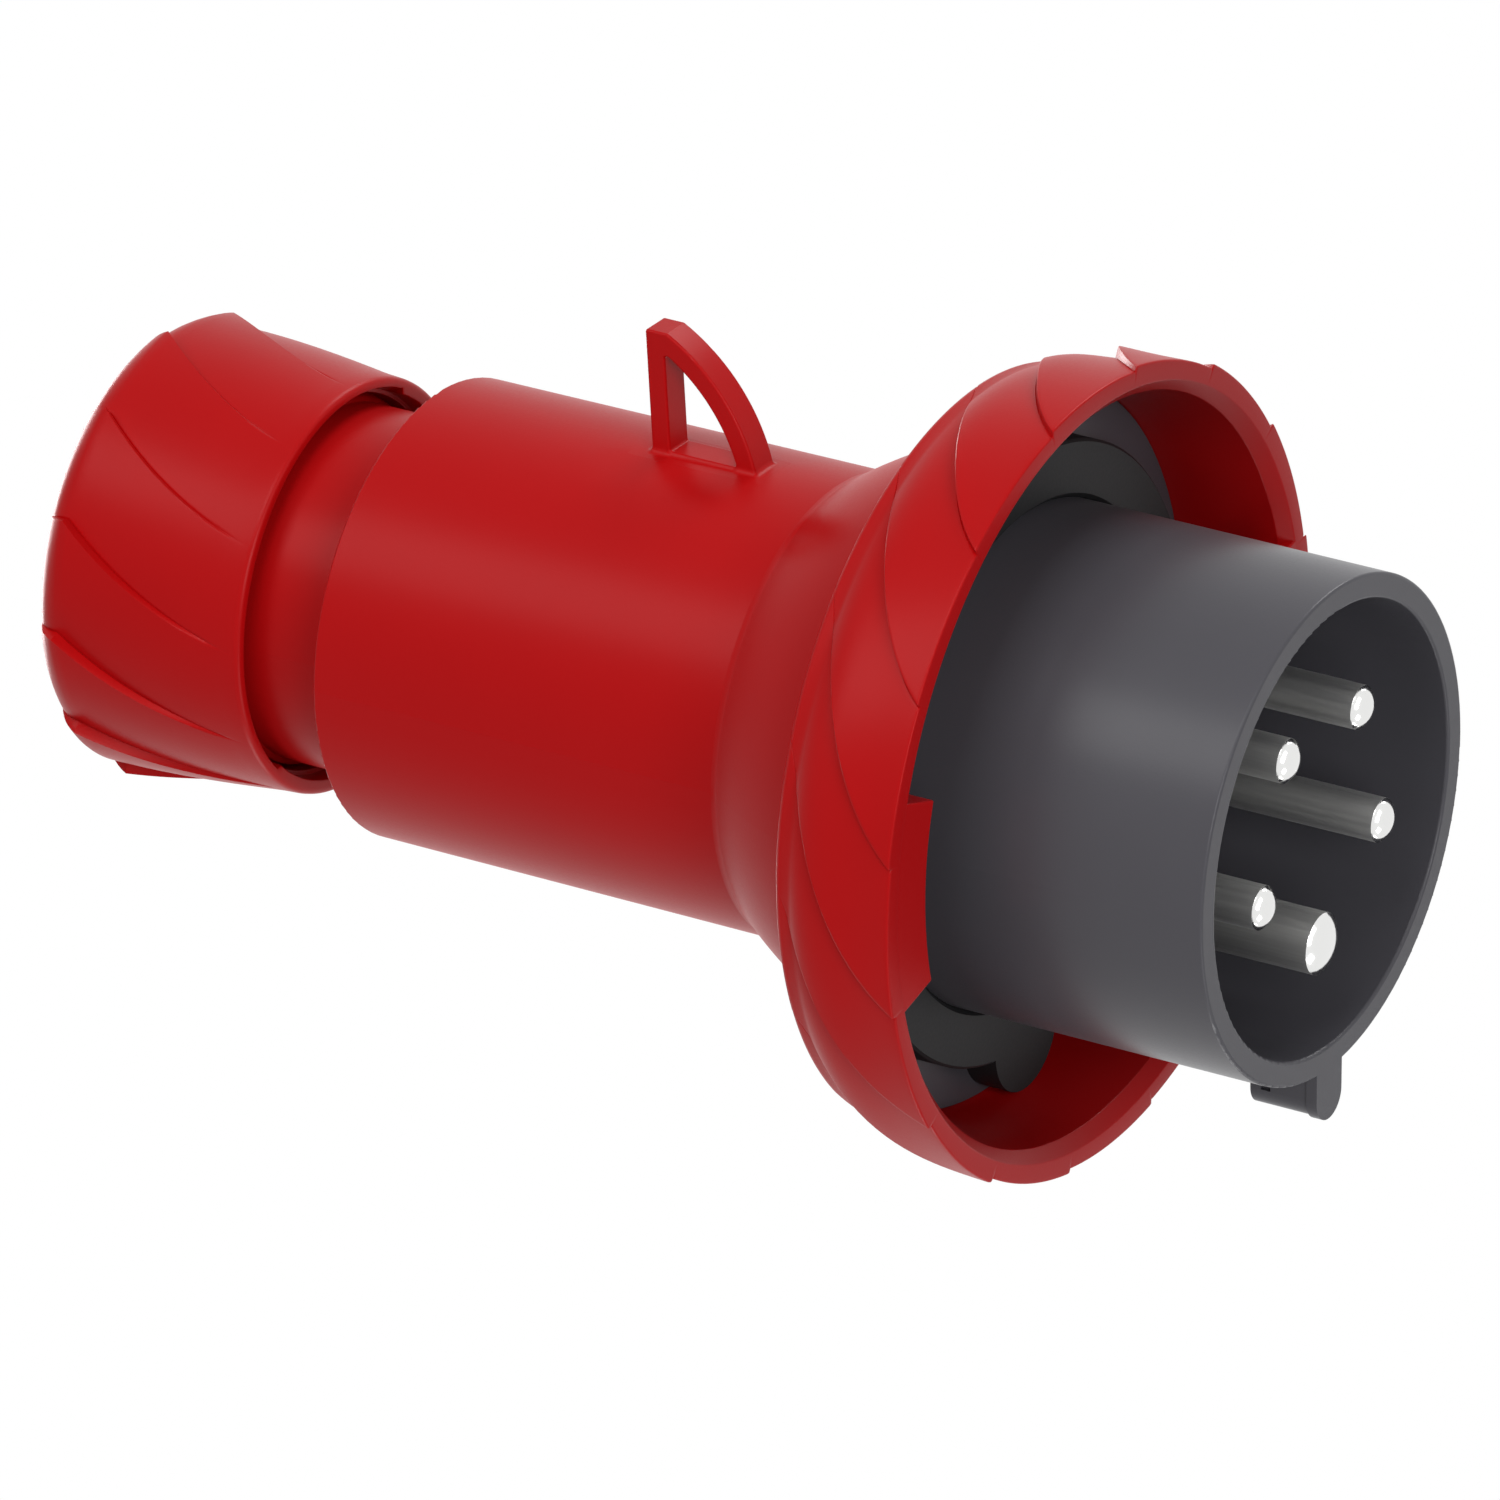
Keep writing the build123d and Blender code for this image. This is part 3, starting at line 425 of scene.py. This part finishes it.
bladed = blade_tree()
ring_front, ring_mouth, ring_depth, ring_web, ring_rear = 28.6, 30.0, 14.45, 43.45, 44.95
ring_front_r, ring_rear_r, ring_taper, ring_bow = 45.55, 42.4, 3.1, 1.55
mouth_front_r, mouth_r, web_r, ring_eye_r = 43.6, 42.2, 40.95, 33.25
front_rise, rear_rise, rise_swell, ring_rows = 0.55, 0.08, 8.1, 21
ring_side = []
for row in range(1, ring_rows + 1):
    share = row / ring_rows
    rise = front_rise - (front_rise - rear_rise) * share + rise_swell * share ** 2 * (1 - share)
    ring_side.append((ring_front_r - ring_taper * share ** ring_bow,
                      ring_front + ring_depth * share, 0, rise))
ring_outline = eased([
    (mouth_front_r, ring_front, 0.12, 0), (ring_front_r, ring_front, 0.25, front_rise), *ring_side,
    (ring_rear_r, ring_rear, 1.9, 0.04), (ring_eye_r, ring_rear, 0.2, 0),
    (ring_eye_r, ring_web, 0.2, 0), (web_r, ring_web, 0.5, 0), (mouth_r, ring_mouth, 0.12, 0)])
ring = grown("coupling_ring_shell", "ring", bladed,
             {"Blades": 16, "Phase": radians(7.9), "Way": 1.0, "Swirl From": ring_front / 1000,
              "Swirl Way": 1.0, "Swirl": radians(925.0), "Curl": radians(87000.0), "Edge": 0.014,
              "Groove": 0.00012, "Columns": 30, "Material": red},
             outline_of("ring_outline", ring_outline))
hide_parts("coupling_ring")


# Bayonet lugs and stops: moulded on the inside of the ring. The lugs draw the plug into its
# socket with their sloping backs, and the stops in the web limit the turn.
def bent_block_tree():
    """Tree: a block bent round the axis, with a sloping back, repeated round the ring."""
    tree, given = tree_with("bent_block", {
        "Outline": "Geometry", "Inner": "Float", "Outer": "Float", "Low": "Float", "High": "Float",
        "From": "Float", "To": "Float", "Slope": "Float", "Copies": "Int", "Material": "Material"})
    cube = wired(tree, "GeometryNodeMeshCube", {"Vertices X": 18, "Vertices Y": 2, "Vertices Z": 2})
    position = wired(tree, "GeometryNodeInputPosition").outputs[0]
    spot_xyz = wired(tree, "ShaderNodeSeparateXYZ", {0: position}).outputs
    across, out, up = (worked(tree, "ADD", spot_xyz[axis], 0.5) for axis in ("X", "Y", "Z"))
    spans = ((across, "From", "To"), (out, "Inner", "Outer"), (up, "Low", "High"))
    angle, radius, height = (
        worked(tree, "MULTIPLY_ADD", share,
               worked(tree, "SUBTRACT", given[end], given[start]), given[start])
        for share, start, end in spans)
    slope = worked(tree, "MULTIPLY", worked(tree, "MULTIPLY", spot_xyz["X"], up), given["Slope"])
    block = wrapped(tree, cube.outputs["Mesh"], radius, worked(tree, "ADD", height, slope), angle)
    pitch = worked(tree, "DIVIDE", 2 * pi, given["Copies"])
    closed(tree, repeated(tree, block, given["Copies"], pitch), given["Material"])
    return tree


def softened(piece, width):
    """Round a piece's edges."""
    edges = piece.modifiers.new("edges", "BEVEL")
    edges.width = width
    edges.segments = 3
    edges.limit_method = "ANGLE"
    edges.angle_limit = radians(50)
    seen_piece = piece.evaluated_get(bpy.context.evaluated_depsgraph_get())
    mesh = bpy.data.meshes.new_from_object(seen_piece)
    piece.modifiers.remove(edges)
    piece.data = mesh


bent_block = bent_block_tree()
lugs = grown("bayonet_lugs", "ring", bent_block,
             {"Inner": 0.0377, "Outer": 0.0443, "Low": 0.02861, "High": 0.0333,
              "From": radians(-15.5), "To": radians(17.0), "Slope": 0.0018, "Copies": 2,
              "Material": red})
edge_width = 0.0002
softened(lugs, edge_width)
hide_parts("coupling_ring")
stops = grown("ring_stops", "ring", bent_block,
              {"Inner": 0.0317, "Outer": 0.0336, "Low": 0.0436, "High": 0.0448,
               "From": radians(108.0), "To": radians(117.0), "Slope": 0.0, "Copies": 2,
               "Material": red})
softened(stops, edge_width)
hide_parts("coupling_ring")


# Contacts: five brass pins, turned from drawn bar and nickel plated, so the domes are bright and
# fine streaks run along the shanks. The screws and pressure plates behind are zinc-plated steel.
def turned_finish():
    """Node group: a turned dome, and streaks along the drawn shank that starts behind it."""
    group, given, place = finish_group("turned_finish", (
        ("Color", "Color", (0.7, 0.7, 0.7, 1.0)), ("Shade", "Color", (0.5, 0.5, 0.5, 1.0)),
        ("Roughness", "Float", 0.15), ("Shank Roughness", "Float", 0.15), ("Crown", "Float", 0.0),
        ("Streak Size", "Float", 900.0)))
    height = wired(group, "ShaderNodeSeparateXYZ", {0: place}).outputs["Z"]
    dome = wired(group, "ShaderNodeMapRange",
                 {"Value": height, "From Min": dome_top, "From Max": dome_foot}).outputs[0]
    shank = worked(group, "GREATER_THAN", dome, nearly_foot)
    crown = worked(group, "MULTIPLY", worked(group, "POWER", dome, 2.0), given["Crown"])
    drawn = wired(group, "ShaderNodeMapping",
                  {"Vector": place, "Scale": (1.0, 1.0, streak_squeeze)}).outputs[0]
    streak = patchy(group, noise(group, drawn, given["Streak Size"], 4.0))
    streak = worked(group, "MULTIPLY", streak, shank)
    base = wired(group, "ShaderNodeMapRange",
                 {"Value": shank, "To Min": given["Roughness"], "To Max": given["Shank Roughness"]})
    rough = worked(group, "MULTIPLY_ADD", streak, roughness_swing, base.outputs[0])
    wired(group, "NodeGroupOutput",
          {"Color": tinted(group, given, streak), "Roughness": rough, "Height": crown})
    return group


dome_top, dome_foot, nearly_foot, streak_squeeze = 0.00005, 0.0012, 0.999, 0.02
streaks = turned_finish()


def plated(name, color, shade, roughness, shank_roughness, streak_size, crown=0.0):
    """Material of a plated metal piece; a crown makes the light fall on a pin's dome as it would
    on a fuller one."""
    material = bpy.data.materials.new(name)
    material.use_nodes = True
    tree = material.node_tree
    body = tree.nodes["Principled BSDF"]
    body.inputs["Metallic"].default_value = 1.0
    finish = wired(tree, "ShaderNodeGroup", node_tree=streaks)
    for socket, value in (("Color", (*color, 1.0)), ("Shade", (*shade, 1.0)),
                          ("Roughness", roughness), ("Shank Roughness", shank_roughness),
                          ("Crown", crown), ("Streak Size", streak_size)):
        finish.inputs[socket].default_value = value
    tree.links.new(finish.outputs["Color"], body.inputs["Base Color"])
    tree.links.new(finish.outputs["Roughness"], body.inputs["Roughness"])
    if crown:
        bump = wired(tree, "ShaderNodeBump",
                     {"Strength": 1.0, "Distance": 1.0, "Height": finish.outputs["Height"]})
        tree.links.new(bump.outputs["Normal"], body.inputs["Normal"])
    return material


nickel = plated("nickel_plating", (0.80, 0.80, 0.79), (0.60, 0.60, 0.58),
                roughness=0.14, shank_roughness=0.40, streak_size=1600.0, crown=-0.0004)
zinc = plated("zinc_plating", (0.58, 0.59, 0.60), (0.50, 0.51, 0.52),
              roughness=0.28, shank_roughness=0.28, streak_size=900.0)
coat(nickel, "pin_pe", "pin_n", "pin_l1", "pin_l2", "pin_l3")
coat(zinc, "terminal_screws", "wire_guards", "carrier_screw")


# Clamping cage and thrust ring: natural polyamide. The nut pushes the ring over the cage's
# fingers, which close on the cable.
natural = moulded("natural_polyamide", (0.50, 0.50, 0.48), (0.45, 0.45, 0.43),
                  roughness=0.45, gloss=0.4, grain_size=2500.0, grain_depth=0.00002)
coat(natural, "clamp_cage", "thrust_ring")


# Gland nut: red polyamide, a cone with twelve ribs that swirl forwards from its rear edge and
# fade out. Its front lip is thinner over a part of the way round.
nut_front, nut_step, bore_end = 124.6, 127.2, 146.4
nut_crease, nut_floor, nut_end = 147.6, 148.5, 151.0
nut_front_r, nut_flare, nut_end_r = 23.7, 1.35, 22.15
nut_lip_r, nut_bore_r, nut_floor_r, nut_mouth_r = 22.0, 21.5, 19.4, 13.4
side_start, side_rows, crease_rows = 1.6, 21, 9
rib_rise, rib_length = 1.4, 20.0
nut_length, crease_r = nut_crease - nut_front, nut_front_r + nut_flare
nut_side = []
for row in range(1, side_rows + 1):
    height = nut_front + side_start + (nut_length - side_start) * row / side_rows
    nut_side.append((nut_front_r + nut_flare * (height - nut_front) / nut_length, height, 0,
                     rib_rise * max(0.0, 1 - (nut_crease - height) / rib_length)))
for row in range(1, crease_rows):
    bend = pi / 2 * row / crease_rows
    nut_side.append((nut_end_r + (crease_r - nut_end_r) * cos(bend),
                     nut_crease + (nut_end - nut_crease) * sin(bend), 0,
                     rib_rise * (1 - sin(bend))))
nut_outline = eased([
    (nut_lip_r, nut_front, 0.2, 0), (nut_front_r, nut_front, 0.8, 0), *nut_side,
    (nut_end_r, nut_end, 0, 0), (nut_mouth_r, nut_end, 0.6, 0), (nut_mouth_r, nut_floor, 0.2, 0),
    (nut_floor_r, nut_floor, 0.1, 0), (nut_bore_r, bore_end, 0.1, 0),
    (nut_bore_r, nut_step, 0.1, 0), (nut_lip_r, nut_step, 0.1, 0)])
nut = grown("gland_nut_shell", "nut", bladed,
            {"Blades": 12, "Phase": radians(26.9), "Way": -1.0, "Swirl From": nut_crease / 1000,
             "Swirl Way": -1.0, "Swirl": radians(-1740.0), "Curl": radians(26500.0), "Edge": 0.014,
             "Groove": 0.0001, "Columns": 34, "Material": red},
            outline_of("nut_outline", nut_outline))
lip_end, lip_reach, lip_relief = 0.1271, 0.0224, 0.0006
relief_from, relief_to = radians(-118.3), radians(45.4)
for vertex in nut.data.vertices:
    around = Vector(vertex.co[:2])
    at = Vector((1, 0)).angle_signed(around)
    if vertex.co.z < lip_end and around.length < lip_reach and relief_from < at < relief_to:
        vertex.co.xy = around * (1 + lip_relief / around.length)
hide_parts("gland_nut")
